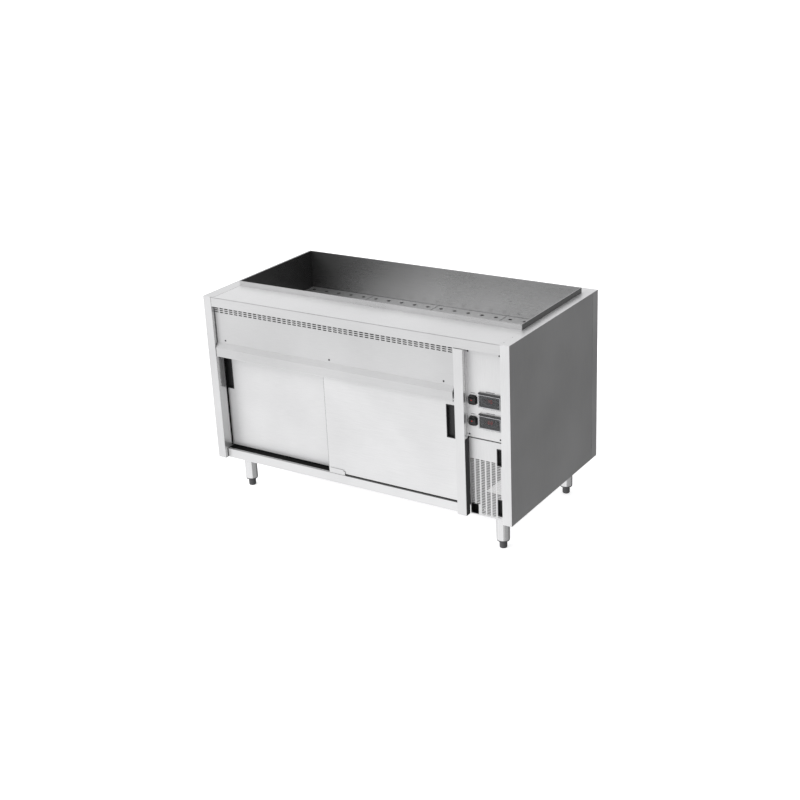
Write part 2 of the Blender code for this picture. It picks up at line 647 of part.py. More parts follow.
def controllers():
    """Two temperature controllers under clear covers that lift on a hinge at the top."""
    plate = PANEL_Y - GAP
    for index, z in enumerate(CONTROL_Z, start=1):
        keys = [(CONTROL_X + 0.0295, CONTROL_X + 0.0385, z + up - 0.0042, z + up + 0.0042)
                for up in (0.0080, -0.0080)]
        sockets = [(x0 - GAP, x1 + GAP, 0.018, 0.0278, z0 - GAP, z1 + GAP) for x0, x1, z0, z1 in keys]
        part(f"controller_{index}", "grey_plastic",
             boxes((CONTROL_X - CONTROL_HALF, CONTROL_X + CONTROL_HALF, plate - 0.0015, plate,
                    z - 0.031, z + 0.0285)),
             join=[boxes((CONTROL_X - 0.042, CONTROL_X + 0.042, 0.024, plate - 0.0005, z - 0.022, z + 0.022),
                         (CONTROL_X - CONTROL_HALF, CONTROL_X + CONTROL_HALF, 0.0204, plate - 0.0005,
                          z + 0.0242, z + 0.0285)),
                   boxes((CONTROL_X - 0.035, CONTROL_X + 0.035, plate - 0.001, 0.088, z - 0.014, z + 0.014))],
             cut=[boxes(*sockets)])
        for label, (x0, x1, z0, z1) in zip(("up", "down"), keys):
            part(f"controller_{index}_key_{label}", "black_plastic", boxes((x0, x1, 0.0228, 0.0262, z0, z1)))
        bottom, top = z - 0.0315, z + 0.0233
        half, inner = CONTROL_HALF - 0.0005, CONTROL_HALF - 0.0021
        part(f"controller_{index}_cover", "clear_cover",
             boxes((CONTROL_X - half, CONTROL_X + half, 0.0184, 0.0279, bottom, top)),
             origin=world(CONTROL_X, 0.0192, z + 0.0237),
             join=[boxes((CONTROL_X - 0.025, CONTROL_X + 0.025, 0.0150, 0.0190, bottom, bottom + 0.003))],
             cut=[boxes((CONTROL_X - inner, CONTROL_X + inner, 0.0200, 0.0400, bottom + 0.0016,
                         top + 0.005))])


def vent_panel():
    """The hinged service panel: six columns of slots, two pull pockets and the drain's opening."""
    left, right = PANEL_LEFT + 0.0012, PANEL_RIGHT - 0.0030
    low, high = BODY_BOTTOM + 0.0006, PANEL_SPLIT - 0.0025
    holder = empty("vent_panel_hinge", world(left - 0.0006, PANEL_Y - 0.0002, (low + high) / 2))
    through = (PANEL_Y - 0.005, PANEL_Y + 0.005)
    pull_right = PULL_LEFT + PULL_WIDTH
    blocked = [(PULL_LEFT - 0.001, pull_right, z0 - 0.002, z1 + 0.002) for z0, z1 in PULLS.values()]
    blocked.append((PORT[0] - 0.002, PORT[1] + 0.006, PORT[2] - 0.010, PORT[3] + 0.002))
    slots = []
    rows = int((SLOT_TOP_Z - SLOT_BOTTOM_Z) / SLOT_PITCH_Z) + 1
    for column in range(SLOT_COLUMNS):
        x0 = SLOT_FIRST_X + column * SLOT_PITCH_X
        x1 = x0 + SLOT_WIDTH
        for row in range(rows):
            z = SLOT_TOP_Z - row * SLOT_PITCH_Z
            z0, z1 = z - SLOT_HEIGHT / 2, z + SLOT_HEIGHT / 2
            if not any(x0 < b1 and x1 > b0 and z0 < c1 and z1 > c0 for b0, b1, c0, c1 in blocked):
                slots.append((x0, x1, *through, z0, z1))
    inset = 0.0015
    windows = [(PULL_LEFT + inset, pull_right - inset, *through, z0 + inset, z1 - inset)
               for z0, z1 in PULLS.values()]
    windows.append((PORT[0], PORT[1], *through, PORT[2], PORT[3]))
    part("vent_panel", "steel", tray((left, right, PANEL_Y, PANEL_Y + 0.010, low, high), "+y"), SHEET,
         parent=holder, cut=[boxes(*slots), boxes(*windows)])
    for name, (z0, z1) in PULLS.items():
        inner = inset + GAP
        cup = (PULL_LEFT + inner, pull_right - inner, PANEL_Y - 0.0008, PANEL_Y + 0.014, z0 + inner, z1 - inner)
        wall = 0.0015
        hollow = (cup[0] + wall, cup[1] - wall, 0.010, cup[3] - wall, cup[4] + wall, cup[5] - wall)
        part(f"pull_{name}", "black_plastic", boxes(cup), parent=holder,
             join=[boxes((PULL_LEFT, pull_right, PANEL_Y - 0.0014, PANEL_Y - GAP, z0, z1))],
             cut=[boxes(hollow)])


# ---------------------------------------------------------------- services behind the controls
def services():
    """The well's drain and valve, the shelf for the electrics, and the mains cable's gland."""
    pipe_x, front_y, rear_y, elbow_z, bend = DRAIN_X, DRAIN_Y, 0.240, 0.420, 0.030
    route = [(pipe_x, rear_y, WELL_BOTTOM - 0.001)]
    route += arc((pipe_x, rear_y - bend, elbow_z + bend), bend, 0, -90, "yz", 5)
    route += arc((pipe_x, front_y + bend, elbow_z - bend), bend, 90, 180, "yz", 5)
    route.append((pipe_x, front_y, 0.2005))
    rod("drain_pipe", "brass", route, 0.010)
    lever_y, lever_z = 0.050, 0.182
    turned_part("drain_valve", "brass",
                turned([(0.0, 0.0445), (0.013, 0.0445), (0.015, 0.040), (0.015, 0.010), (0.011, 0.006),
                        (0.011, -0.004), (0.0, -0.004)], (pipe_x, front_y, 0.1555), 20),
                join=[cylinders("y", 0.005, lever_y + 0.0045, front_y, [(pipe_x, lever_z)], 12)])
    part("drain_lever", "nylon", cylinders("y", 0.009, lever_y, lever_y + 0.004, [(pipe_x, lever_z)], 16),
         origin=world(pipe_x, lever_y, lever_z),
         join=[boxes((pipe_x, pipe_x + 0.046, lever_y + 0.0005, lever_y + 0.0035,
                      lever_z - 0.006, lever_z + 0.006))])
    level, left = 0.253, 1.322
    part("service_shelf", "steel",
         folded([(0.060, level), (0.330, level), (0.330, level + 0.022)], "yz", left, PANEL_RIGHT - 0.003,
                "left"), SHEET)
    part("contactor", "grey_plastic", boxes((1.336, 1.381, 0.215, 0.290, level + GAP, level + 0.080)),
         join=[boxes((1.341, 1.376, 0.200, 0.216, level + 0.020, level + 0.060))])
    turned_part("cable_gland", "nylon",
                turned([(0.0050, 0.0065), (0.0150, 0.0065), (0.0150, 0.0015), (0.0098, 0.0015),
                        (0.0098, -0.0006), (0.0140, -0.0006), (0.0140, -0.012), (0.0085, -0.024),
                        (0.0050, -0.024), (0.0050, 0.0065)], (1.250, 0.700, BODY_BOTTOM), 20))


# ---------------------------------------------------------------- legs
def legs():
    """Four tube legs on square flanges, each with a foot that screws in and out."""
    top, plate = BODY_BOTTOM - GAP, 0.003
    wall, plug = 0.0015, 0.018
    stem, bore = 0.0098, 0.0102
    places = {"front_left": (LEG_INSET_X, LEG_INSET_Y), "front_right": (WIDTH - LEG_INSET_X, LEG_INSET_Y),
              "rear_left": (LEG_INSET_X, DEPTH - LEG_INSET_Y),
              "rear_right": (WIDTH - LEG_INSET_X, DEPTH - LEG_INSET_Y)}
    for name, (x, y) in places.items():
        tube = [(0.0, top - 0.001), (LEG_RADIUS, top - 0.001), (LEG_RADIUS, LEG_BOTTOM), (bore, LEG_BOTTOM),
                (bore, LEG_BOTTOM + plug), (LEG_RADIUS - wall, LEG_BOTTOM + plug),
                (LEG_RADIUS - wall, top - plate - wall), (0.0, top - plate - wall)]
        half = 0.042
        turned_part(f"leg_{name}", "leg_steel", turned(tube, (x, y, 0.0), 24),
                    join=[boxes((x - half, x + half, y - half, y + half, top - plate, top))])
        collar = LEG_RADIUS - 0.0008
        pad = [(0.0, 0.078), (stem, 0.078), (stem, LEG_BOTTOM - GAP), (collar, LEG_BOTTOM - GAP),
               (collar, LEG_BOTTOM - 0.0050), (0.0170, 0.0300), (0.0160, 0.0280), (0.0160, 0.0025),
               (0.0142, 0.0), (0.0, 0.0)]
        turned_part(f"foot_{name}", "nylon", turned(pad, (x, y, 0.0), 18))


side_panels()
back_panel()
base_panel()
worktop()
front_apron()
divider_post()
fascia_panel()
well_tank()
well_floor_plates()
well_element()
doors()
door_track()
door_guide()
cupboard_lining()
shelf()
fan_heater()
control_panel()
switches()
controllers()
vent_panel()
services()
legs()
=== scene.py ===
"""Looks of the food holding cabinet: studio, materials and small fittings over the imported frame."""
import math

import bmesh
import bpy
from mathutils import Matrix, Vector


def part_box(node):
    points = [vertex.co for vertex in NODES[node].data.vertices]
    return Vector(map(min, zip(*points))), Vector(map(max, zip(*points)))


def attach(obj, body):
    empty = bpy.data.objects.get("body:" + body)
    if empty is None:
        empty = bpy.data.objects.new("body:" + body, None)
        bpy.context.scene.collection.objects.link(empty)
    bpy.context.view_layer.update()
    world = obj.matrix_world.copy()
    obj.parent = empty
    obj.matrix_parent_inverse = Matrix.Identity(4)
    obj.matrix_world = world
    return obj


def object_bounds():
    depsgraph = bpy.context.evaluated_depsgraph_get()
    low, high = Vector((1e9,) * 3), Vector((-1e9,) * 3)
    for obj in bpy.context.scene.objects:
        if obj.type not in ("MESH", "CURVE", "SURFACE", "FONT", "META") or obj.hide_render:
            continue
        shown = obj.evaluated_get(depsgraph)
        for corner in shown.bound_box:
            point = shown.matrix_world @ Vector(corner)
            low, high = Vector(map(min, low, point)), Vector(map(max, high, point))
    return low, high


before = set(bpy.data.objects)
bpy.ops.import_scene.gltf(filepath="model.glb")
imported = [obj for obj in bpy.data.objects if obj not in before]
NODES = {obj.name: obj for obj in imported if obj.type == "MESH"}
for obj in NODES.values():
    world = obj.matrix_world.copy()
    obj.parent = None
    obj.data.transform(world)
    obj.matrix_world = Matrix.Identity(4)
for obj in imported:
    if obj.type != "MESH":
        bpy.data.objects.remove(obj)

CAD_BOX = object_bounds()
LOW = CAD_BOX[0]
MM = 0.001
FORWARD = (0.0, -1.0, 0.0)
UP = (0.0, 0.0, 1.0)


# ---------------------------------------------------------------- studio
BLUE_SHARE = 1.01              # the room's light is very slightly cool
WALL_TOP, CEILING_START = -0.10, 0.35  # heights of direction between which walls turn into ceiling
# (place round the room, brightness); 0.25 is in front, 0.5 at the right
WALLS = [(0.0, 0.95), (0.355, 0.95), (0.385, 0.40), (0.60, 0.36), (0.65, 0.15), (0.80, 0.15), (0.95, 0.80)]
CEILING = [(0.0, 0.95), (0.36, 0.90), (0.45, 0.45), (0.62, 0.35), (0.72, 0.60), (0.85, 0.92)]
LENS_MM = 61.588
CAMERA_PLACE = (3.0124, -4.5516, 2.6017)
CAMERA_TURN = (1.189894, 0.043602, 0.569234)
KEY_STRENGTH = 1.2
KEY_SOFTNESS = math.radians(30)
KEY_FROM = (-0.62, -0.55, 0.50)
PAPER_GREY = 0.93
PAPER_GLOW = 0.62


def grey_ramp(tree, value, stops):
    """A colour ramp of greys; stops are (place, brightness)."""
    node = tree.nodes.new("ShaderNodeValToRGB")
    ramp = node.color_ramp
    for place, _ in stops[2:]:
        ramp.elements.new(place)
    for element, (place, bright) in zip(ramp.elements, stops):
        element.position = place
        element.color = (bright, bright, bright * BLUE_SHARE, 1.0)
    tree.links.new(value, node.inputs["Fac"])
    return node.outputs["Color"]


def sky():
    """A room that is bright in front and at the left, dim at the right, with a pale ceiling."""
    world = bpy.data.worlds.new("sky")
    world.use_nodes = True
    bpy.context.scene.world = world
    tree = world.node_tree
    background = tree.nodes["Background"]
    direction = tree.nodes.new("ShaderNodeTexCoord").outputs["Generated"]
    around = tree.nodes.new("ShaderNodeTexGradient")
    around.gradient_type = "RADIAL"
    tree.links.new(direction, around.inputs["Vector"])
    walls = grey_ramp(tree, around.outputs["Fac"], WALLS)
    ceiling = grey_ramp(tree, around.outputs["Fac"], CEILING)
    split = tree.nodes.new("ShaderNodeSeparateXYZ")
    tree.links.new(direction, split.inputs["Vector"])
    height = tree.nodes.new("ShaderNodeMapRange")
    height.interpolation_type = "SMOOTHSTEP"
    height.inputs["From Min"].default_value = WALL_TOP
    height.inputs["From Max"].default_value = CEILING_START
    tree.links.new(split.outputs["Z"], height.inputs["Value"])
    mix = tree.nodes.new("ShaderNodeMix")
    mix.data_type = "RGBA"
    tree.links.new(height.outputs["Result"], mix.inputs["Factor"])
    tree.links.new(walls, mix.inputs[6])
    tree.links.new(ceiling, mix.inputs[7])
    tree.links.new(mix.outputs[2], background.inputs["Color"])
    background.inputs["Strength"].default_value = 1.0


def studio():
    """The camera ahead and to the right, a pale floor, one soft key light and the room."""
    scene = bpy.context.scene
    scene.view_settings.view_transform = "Standard"
    lens = bpy.data.cameras.new("camera")
    lens.lens = LENS_MM
    lens.sensor_width = 36.0
    lens.clip_end = 200.0
    camera = bpy.data.objects.new("camera", lens)
    camera.location = CAMERA_PLACE
    camera.rotation_euler = CAMERA_TURN
    scene.collection.objects.link(camera)
    scene.camera = camera

    sun = bpy.data.lights.new("key", "SUN")
    sun.energy = KEY_STRENGTH
    sun.angle = KEY_SOFTNESS
    key = bpy.data.objects.new("key", sun)
    key.rotation_euler = Vector(KEY_FROM).to_track_quat("Z", "Y").to_euler()
    key.visible_glossy = False
    scene.collection.objects.link(key)
    sky()

    bm = bmesh.new()
    bmesh.ops.create_grid(bm, x_segments=1, y_segments=1, size=60.0)
    mesh = bpy.data.meshes.new("floor")
    bm.to_mesh(mesh)
    bm.free()
    floor = bpy.data.objects.new("floor", mesh)
    floor.location.z = LOW.z
    scene.collection.objects.link(floor)
    paper = bpy.data.materials.new("paper")
    paper.use_nodes = True
    shader = paper.node_tree.nodes["Principled BSDF"]
    shader.inputs["Base Color"].default_value = (PAPER_GREY, PAPER_GREY, PAPER_GREY, 1.0)
    shader.inputs["Roughness"].default_value = 0.9
    shader.inputs["Specular IOR Level"].default_value = 0.1
    shader.inputs["Emission Color"].default_value = (1.0, 1.0, 1.0, 1.0)
    shader.inputs["Emission Strength"].default_value = PAPER_GLOW
    floor.visible_diffuse = False
    floor.visible_glossy = False
    mesh.materials.append(paper)


# ---------------------------------------------------------------- materials
def shader_of(material):
    return material.node_tree.nodes["Principled BSDF"]


def detail_nodes(material, grain, fine, coarse, seed=0.0):
    """Noise in the piece's own coordinates: a fine one stretched along the grain, and broad smudges."""
    tree = material.node_tree
    place = tree.nodes.new("ShaderNodeTexCoord")
    stretch = tree.nodes.new("ShaderNodeMapping")
    stretch.inputs["Scale"].default_value = grain
    stretch.inputs["Location"].default_value = (seed, seed * 0.7, seed * 1.3)
    tree.links.new(place.outputs["Object"], stretch.inputs["Vector"])
    lines = tree.nodes.new("ShaderNodeTexNoise")
    lines.inputs["Scale"].default_value = fine
    lines.inputs["Detail"].default_value = 4.0
    lines.inputs["Roughness"].default_value = 0.65
    tree.links.new(stretch.outputs["Vector"], lines.inputs["Vector"])
    smudges = tree.nodes.new("ShaderNodeTexNoise")
    smudges.inputs["Scale"].default_value = coarse
    smudges.inputs["Detail"].default_value = 3.0
    tree.links.new(place.outputs["Object"], smudges.inputs["Vector"])
    return lines.outputs["Fac"], smudges.outputs["Fac"]


def ranged(material, value, low, high, start=0.25, end=0.75):
    """A value from start to end as one from low to high."""
    node = material.node_tree.nodes.new("ShaderNodeMapRange")
    node.inputs["From Min"].default_value = start
    node.inputs["From Max"].default_value = end
    node.inputs["To Min"].default_value = low
    node.inputs["To Max"].default_value = high
    material.node_tree.links.new(value, node.inputs["Value"])
    return node.outputs["Result"]


def tinted(material, value, dark, light):
    """A value from 0 to 1 as a colour between two."""
    node = material.node_tree.nodes.new("ShaderNodeMix")
    node.data_type = "RGBA"
    node.inputs[6].default_value = (*dark, 1.0)
    node.inputs[7].default_value = (*light, 1.0)
    material.node_tree.links.new(value, node.inputs["Factor"])
    return node.outputs[2]


def added(material, first, second, operation="ADD"):
    node = material.node_tree.nodes.new("ShaderNodeMath")
    node.operation = operation
    material.node_tree.links.new(first, node.inputs[0])
    material.node_tree.links.new(second, node.inputs[1])
    return node.outputs["Value"]


def bumped(material, value, strength, distance):
    node = material.node_tree.nodes.new("ShaderNodeBump")
    node.inputs["Strength"].default_value = strength
    node.inputs["Distance"].default_value = distance
    material.node_tree.links.new(value, node.inputs["Height"])
    material.node_tree.links.new(node.outputs["Normal"], shader_of(material).inputs["Normal"])


GRAINS = {"x": (0.02, 1.0, 1.0), "y": (1.0, 0.02, 1.0), "z": (1.0, 1.0, 0.02)}


def facing(material, direction):
    """1 where the surface faces this way in the object's own frame, 0 where it turns away."""
    tree = material.node_tree
    place = tree.nodes.new("ShaderNodeTexCoord")
    dot = tree.nodes.new("ShaderNodeVectorMath")
    dot.operation = "DOT_PRODUCT"
    dot.inputs[1].default_value = direction
    tree.links.new(place.outputs["Normal"], dot.inputs[0])
    return ranged(material, dot.outputs["Value"], 0.0, 1.0, 0.80, 0.95)


RIM_FRONT = (LOW.y + 0.1800, LOW.y + 0.1830)  # the rim's front sheet ends between these depths
RIM_SIDE_LEVEL = 0.30          # painted shade on the rim's outer right face
UNDER_PLATES_LEVEL = 0.08      # painted shade under the floor plates


def painted_well_shade(material, colour, x_dark, x_unshaded, level):
    """A colour darkened by painted shade: to level at x_dark, under the floor plates and on the rim's right
    face.
    """
    tree = material.node_tree
    place = tree.nodes.new("ShaderNodeTexCoord")
    split = tree.nodes.new("ShaderNodeSeparateXYZ")
    tree.links.new(place.outputs["Object"], split.inputs["Vector"])
    across = ranged(material, split.outputs["X"], level, 1.0, x_dark, x_unshaded)
    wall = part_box("well_tank")[1].x
    outside = ranged(material, split.outputs["X"], 1.0, RIM_SIDE_LEVEL, wall - 1.6 * MM, wall - 0.4 * MM)
    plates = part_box("well_floor_plate_1")[1].z
    under = ranged(material, split.outputs["Z"], UNDER_PLATES_LEVEL, 1.0, plates - 8 * MM, plates - 3 * MM)
    across = added(material, across, added(material, outside, under, "MULTIPLY"), "MULTIPLY")
    inside = ranged(material, split.outputs["Y"], 0.0, 1.0, *RIM_FRONT)
    share = tree.nodes.new("ShaderNodeMix")
    share.inputs[2].default_value = 1.0
    tree.links.new(inside, share.inputs["Factor"])
    tree.links.new(across, share.inputs[3])
    scale = tree.nodes.new("ShaderNodeVectorMath")
    scale.operation = "SCALE"
    tree.links.new(colour, scale.inputs[0])
    tree.links.new(share.outputs[0], scale.inputs["Scale"])
    return scale.outputs["Vector"]


LINES_PER_METRE = 900.0        # scale of the brushed lines across the grain
SMUDGES_PER_METRE = 3.0
TONE_DARK, TONE_LIGHT = 0.92, 1.06  # how far the tone strays from its grey


def steel(name, grey, grain="x", metallic=0.6, roughness=(0.30, 0.44), warm=0.0, seed=0.0, facing_painted_light_and_gloss=None,
          well_shade=None):
    """Brushed sheet: fine lines along the grain in roughness, bump and tone, under broad faint smudges.

    The next-to-last argument is (direction, grey, roughness): the faces that look that way get that grey,
    painted light and shade for that side, and that roughness.
    The last argument is (x_dark, unshaded x, level): behind the rim's front the sheet gets painted shade,
    darker towards x_dark."""
    material = bpy.data.materials.new(name)
    material.use_nodes = True
    shader = shader_of(material)
    shader.inputs["Metallic"].default_value = metallic
    lines, smudges = detail_nodes(material, GRAINS[grain], LINES_PER_METRE, SMUDGES_PER_METRE, seed)
    mixed = added(material, ranged(material, lines, -0.20, 0.20), smudges)
    links = material.node_tree.links
    tone = ranged(material, mixed, 0.0, 1.0)

    def pair(level):
        hue = (1.0 + warm, 1.0, 1.0 - warm)
        dark = tuple(level * TONE_DARK * part for part in hue)
        light = tuple(min(1.0, level * TONE_LIGHT * part) for part in hue)
        return tinted(material, tone, dark, light)

    colour, rough = pair(grey), ranged(material, mixed, *roughness)
    # faces that look the given way get their own grey: painted light and shade for that side of the piece
    if facing_painted_light_and_gloss:
        direction, facing_grey, facing_rough = facing_painted_light_and_gloss
        where = facing(material, direction)
        choose = material.node_tree.nodes.new("ShaderNodeMix")
        choose.data_type = "RGBA"
        links.new(where, choose.inputs["Factor"])
        links.new(colour, choose.inputs[6])
        links.new(pair(facing_grey), choose.inputs[7])
        colour = choose.outputs[2]
        blend = material.node_tree.nodes.new("ShaderNodeMix")
        links.new(where, blend.inputs["Factor"])
        links.new(rough, blend.inputs[2])
        links.new(ranged(material, mixed, facing_rough, facing_rough + 0.06), blend.inputs[3])
        rough = blend.outputs[0]
    # painted shade in the well: darker towards the left, under the floor plates and on the rim's right face
    if well_shade:
        colour = painted_well_shade(material, colour, *well_shade)
    links.new(colour, shader.inputs["Base Color"])
    links.new(rough, shader.inputs["Roughness"])
    bumped(material, lines, 0.10, 0.0002)
    return material


def plastic(name, colour, roughness=(0.38, 0.52), fine=1400.0, depth=0.00008, spread=0.12, glow=0.0):
    """Moulded plastic with a fine spark-eroded texture and slight handling shine."""
    material = bpy.data.materials.new(name)
    material.use_nodes = True
    shader = shader_of(material)
    texture, smudges = detail_nodes(material, (1.0, 1.0, 1.0), fine, 18.0)
    dark = tuple(part * (1.0 - spread) for part in colour)
    light = tuple(min(1.0, part * (1.0 + spread) + 0.002) for part in colour)
    links = material.node_tree.links
    links.new(tinted(material, ranged(material, smudges, 0.0, 1.0), dark, light), shader.inputs["Base Color"])
    links.new(ranged(material, smudges, *roughness), shader.inputs["Roughness"])
    if glow:
        shader.inputs["Emission Color"].default_value = (*colour, 1.0)
        shader.inputs["Emission Strength"].default_value = glow
    bumped(material, texture, 0.25, depth)
    return material


def dull(material, level):
    """The same finish with weaker reflections."""
    shader_of(material).inputs["Specular IOR Level"].default_value = level
    return material


def glowing(material, strength):
    """The same finish with a faint white light of its own: painted light on a part that is no lamp."""
    shader_of(material).inputs["Emission Color"].default_value = (1.0, 1.0, 1.0, 1.0)
    shader_of(material).inputs["Emission Strength"].default_value = strength
    return material


def clear_plastic(name, colour, alpha):
    """Clear plastic with faint scuffs in its gloss."""
    material = plastic(name, colour, (0.04, 0.22), 300.0, 0.00003, 0.05)
    shader = shader_of(material)
    shader.inputs["Alpha"].default_value = alpha
    shader.inputs["IOR"].default_value = 1.49
    return dull(material, 0.25)


def bristles(name):
    """Dense black brush hair: fine specks in tone and bump."""
    return dull(plastic(name, (0.006, 0.006, 0.006), (0.75, 0.95), 2500.0, 0.0003, 0.4), 0.15)


FINISH = {}


def finishes():
    """Every finish by name."""
    made = FINISH
    # front: the base's up-facing faces, the rail's top among them, are painted darker: painted shade under
    # the doors
    made["front"] = steel("front_steel", 0.80, "x", seed=1.0, facing_painted_light_and_gloss=((0, 0, 1), 0.45, 0.30))
    made["door"] = steel("door_steel", 0.79, "x", seed=5.0)
    # fascia: the hood's slope is painted darker: painted shade
    made["fascia"] = steel("fascia_steel", 0.68, "x", seed=6.0, facing_painted_light_and_gloss=((0, -0.832, 0.555), 0.58, 0.34))
    made["apron"] = steel("apron_steel", 0.70, "x", seed=7.0)
    made["top"] = steel("top_steel", 0.82, "x", roughness=(0.34, 0.48), seed=9.0)
    made["upright"] = steel("post_steel", 0.76, "z", seed=13.0, facing_painted_light_and_gloss=((1, 0, 0), 0.78, 0.10))
    made["panel"] = steel("panel_steel", 0.76, "z", seed=15.0)
    # side: the outer right face is painted darker: painted shade on the side away from the light
    made["side"] = steel("side_steel", 0.80, "z", seed=17.0, facing_painted_light_and_gloss=((1, 0, 0), 0.54, 0.34))
    made["rear"] = steel("rear_steel", 0.60, "z", seed=21.0)
    # well: the faces that look forward are painted lighter, painted light; behind the rim's front the sheet
    # gets painted shade
    made["well"] = steel("well_steel", 0.46, "x", 0.75, (0.22, 0.36), seed=25.0,
                         facing_painted_light_and_gloss=((0, -1, 0), 0.62, 0.26), well_shade=(LOW.x + 0.05, 0.0, 0.18))
    made["plate"] = steel("plate_steel", 0.64, "y", metallic=0.7, roughness=(0.28, 0.42), seed=29.0)
    made["liner"] = steel("liner_steel", 0.50, "x", metallic=0.7, seed=33.0)
    made["leg"] = steel("leg_steel", 0.86, "z", metallic=0.95, roughness=(0.10, 0.16), seed=37.0)
    made["alu"] = steel("track_aluminium", 0.62, "x", metallic=0.8, roughness=(0.36, 0.5), seed=41.0)
    made["sheath"] = steel("heater_sheath", 0.16, "x", 0.7, (0.4, 0.6), warm=0.10, seed=45.0)
    made["plated"] = steel("drain_plated", 0.10, "z", 0.9, (0.28, 0.42), warm=0.04, seed=49.0)
    # the rolled hood edge's lighter grey is a painted highlight; its gloss is a change of finish
    made["polished_highlight"] = steel("polished_edge", 0.92, "x", metallic=0.9, roughness=(0.16, 0.24), seed=53.0)
    # the service shelf glows: painted light, so it looks lit through the service panel's slots
    made["bright"] = glowing(steel("service_shelf_steel", 0.92, "x", 0.2, (0.16, 0.24), seed=55.0), 0.55)
    made["screw"] = steel("screw_steel", 0.022, "x", metallic=0.4, roughness=(0.36, 0.50), seed=57.0)
    # a near-black sheet with almost no reflection: painted shade behind the fascia's vent slots
    made["slot_shade"] = dull(steel("vent_shade_sheet", 0.008, "x", 0.0, (0.8, 0.95), seed=61.0), 0.05)
    made["black"] = plastic("black_plastic", (0.010, 0.010, 0.011))
    made["pull"] = plastic("pull_plastic", (0.030, 0.030, 0.031))
    made["grey"] = plastic("grey_plastic", (0.034, 0.034, 0.036))
    made["nylon"] = plastic("foot_nylon", (0.085, 0.085, 0.088), (0.45, 0.62))
    made["window"] = plastic("display_window", (0.012, 0.012, 0.013), (0.10, 0.22), 500.0, 0.00002)
    made["lit"] = plastic("lit_segments", (0.30, 0.010, 0.009), (0.3, 0.4), glow=0.12)
    made["unlit"] = plastic("unlit_segments", (0.035, 0.012, 0.012), (0.3, 0.4))
    made["lamp"] = plastic("lamp_lens", (0.46, 0.010, 0.012), (0.12, 0.25), 900.0, 0.00004, glow=0.22)
    made["mark"] = plastic("mark_print", (0.20, 0.20, 0.21), (0.5, 0.7))
    made["label"] = plastic("label_film", (0.17, 0.17, 0.18), (0.5, 0.7))
    made["clear"] = clear_plastic("cover_clear", (0.30, 0.31, 0.32), 0.10)
    made["rim"] = clear_plastic("cover_rim", (0.62, 0.62, 0.64), 0.75)
    made["shade_brush"] = bristles("brush_hair")
    made["rubber"] = dull(plastic("dark_rubber", (0.060, 0.060, 0.061), (0.70, 0.88), 1100.0, 0.0001), 0.12)


def dress_nodes():
    """A finish for every node of the frame."""
    by_name = {
        "left_side_panel": "upright", "right_side_panel": "side", "back_panel": "rear", "base_panel": "front",
        "worktop": "top", "front_apron": "apron", "divider_post": "upright", "fascia_panel": "fascia",
        "door_guide": "door", "control_panel": "panel", "service_shelf": "bright", "vent_panel": "panel",
        "door_left_skin": "door", "door_left_inner": "liner", "door_right_skin": "door",
        "door_right_inner": "liner", "liner_left": "liner", "liner_right": "liner", "liner_wrapper": "liner",
        "shelf": "liner", "fan_hood": "liner", "well_tank": "well", "door_track": "alu",
        "fan_impeller": "alu",
        "well_element": "sheath", "fan_element": "sheath", "drain_pipe": "plated", "drain_valve": "plated",
        "cable_gland": "nylon", "contactor": "grey", "fan_motor": "grey",
        "controller_1": "grey", "controller_2": "grey", "controller_1_cover": "clear",
        "controller_2_cover": "clear", "pull_upper": "pull", "pull_lower": "pull",
    }
    starts = {"well_floor_plate": "plate", "leg": "leg", "foot": "nylon"}
    for name, obj in NODES.items():
        fallback = next((made for start, made in starts.items() if name.startswith(start)), "black")
        finish = FINISH[by_name.get(name, fallback)]
        if len(obj.material_slots) == 0:
            obj.data.materials.append(finish)
        for place in obj.material_slots:
            place.material = finish


# ---------------------------------------------------------------- mesh building
def loft(rings, closed=False):
    """A skin over rings of equally many points; capped at both ends, or joined last to first."""
    bm = bmesh.new()
    made = [[bm.verts.new(point) for point in ring] for ring in rings]
    pairs = list(zip(made, made[1:] + made[:1])) if closed else list(zip(made, made[1:]))
    for first, second in pairs:
        for index in range(len(first)):
            after = (index + 1) % len(first)
            bm.faces.new((first[index], first[after], second[after], second[index]))
    if not closed:
        bm.faces.new(made[0])
        bm.faces.new(made[-1])
    bmesh.ops.recalc_face_normals(bm, faces=bm.faces)
    return bm


def merged(parts):
    """Several meshes as one."""
    whole = bmesh.new()
    for bm in parts:
        mesh = bpy.data.meshes.new("part")
        bm.to_mesh(mesh)
        bm.free()
        whole.from_mesh(mesh)
        bpy.data.meshes.remove(mesh)
    return whole


def piece(name, bm, finish, body, smooth=40.0):
    """A mesh as a piece of the visual model that rides on a body."""
    mesh = bpy.data.meshes.new(name)
    bm.to_mesh(mesh)
    bm.free()
    obj = bpy.data.objects.new(name, mesh)
    bpy.context.scene.collection.objects.link(obj)
    mesh.materials.append(FINISH[finish])
    mesh.shade_smooth()
    mesh.set_sharp_from_angle(angle=math.radians(smooth))
    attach(obj, body)
    return obj


def rounded(x0, x1, z0, z1, corner, y, inset=0.0, steps=4):
    """A rounded rectangle in a plane of constant y, drawn in by inset."""
    x0, x1, z0, z1 = x0 + inset, x1 - inset, z0 + inset, z1 - inset
    corner = max(corner - inset, 0.00005)
    points = []
    for cx, cz, start in ((x1 - corner, z1 - corner, 0), (x0 + corner, z1 - corner, 90),
                          (x0 + corner, z0 + corner, 180), (x1 - corner, z0 + corner, 270)):
        for step in range(steps + 1):
            angle = math.radians(start + 90.0 * step / steps)
            points.append((cx + corner * math.cos(angle), y, cz + corner * math.sin(angle)))
    return points


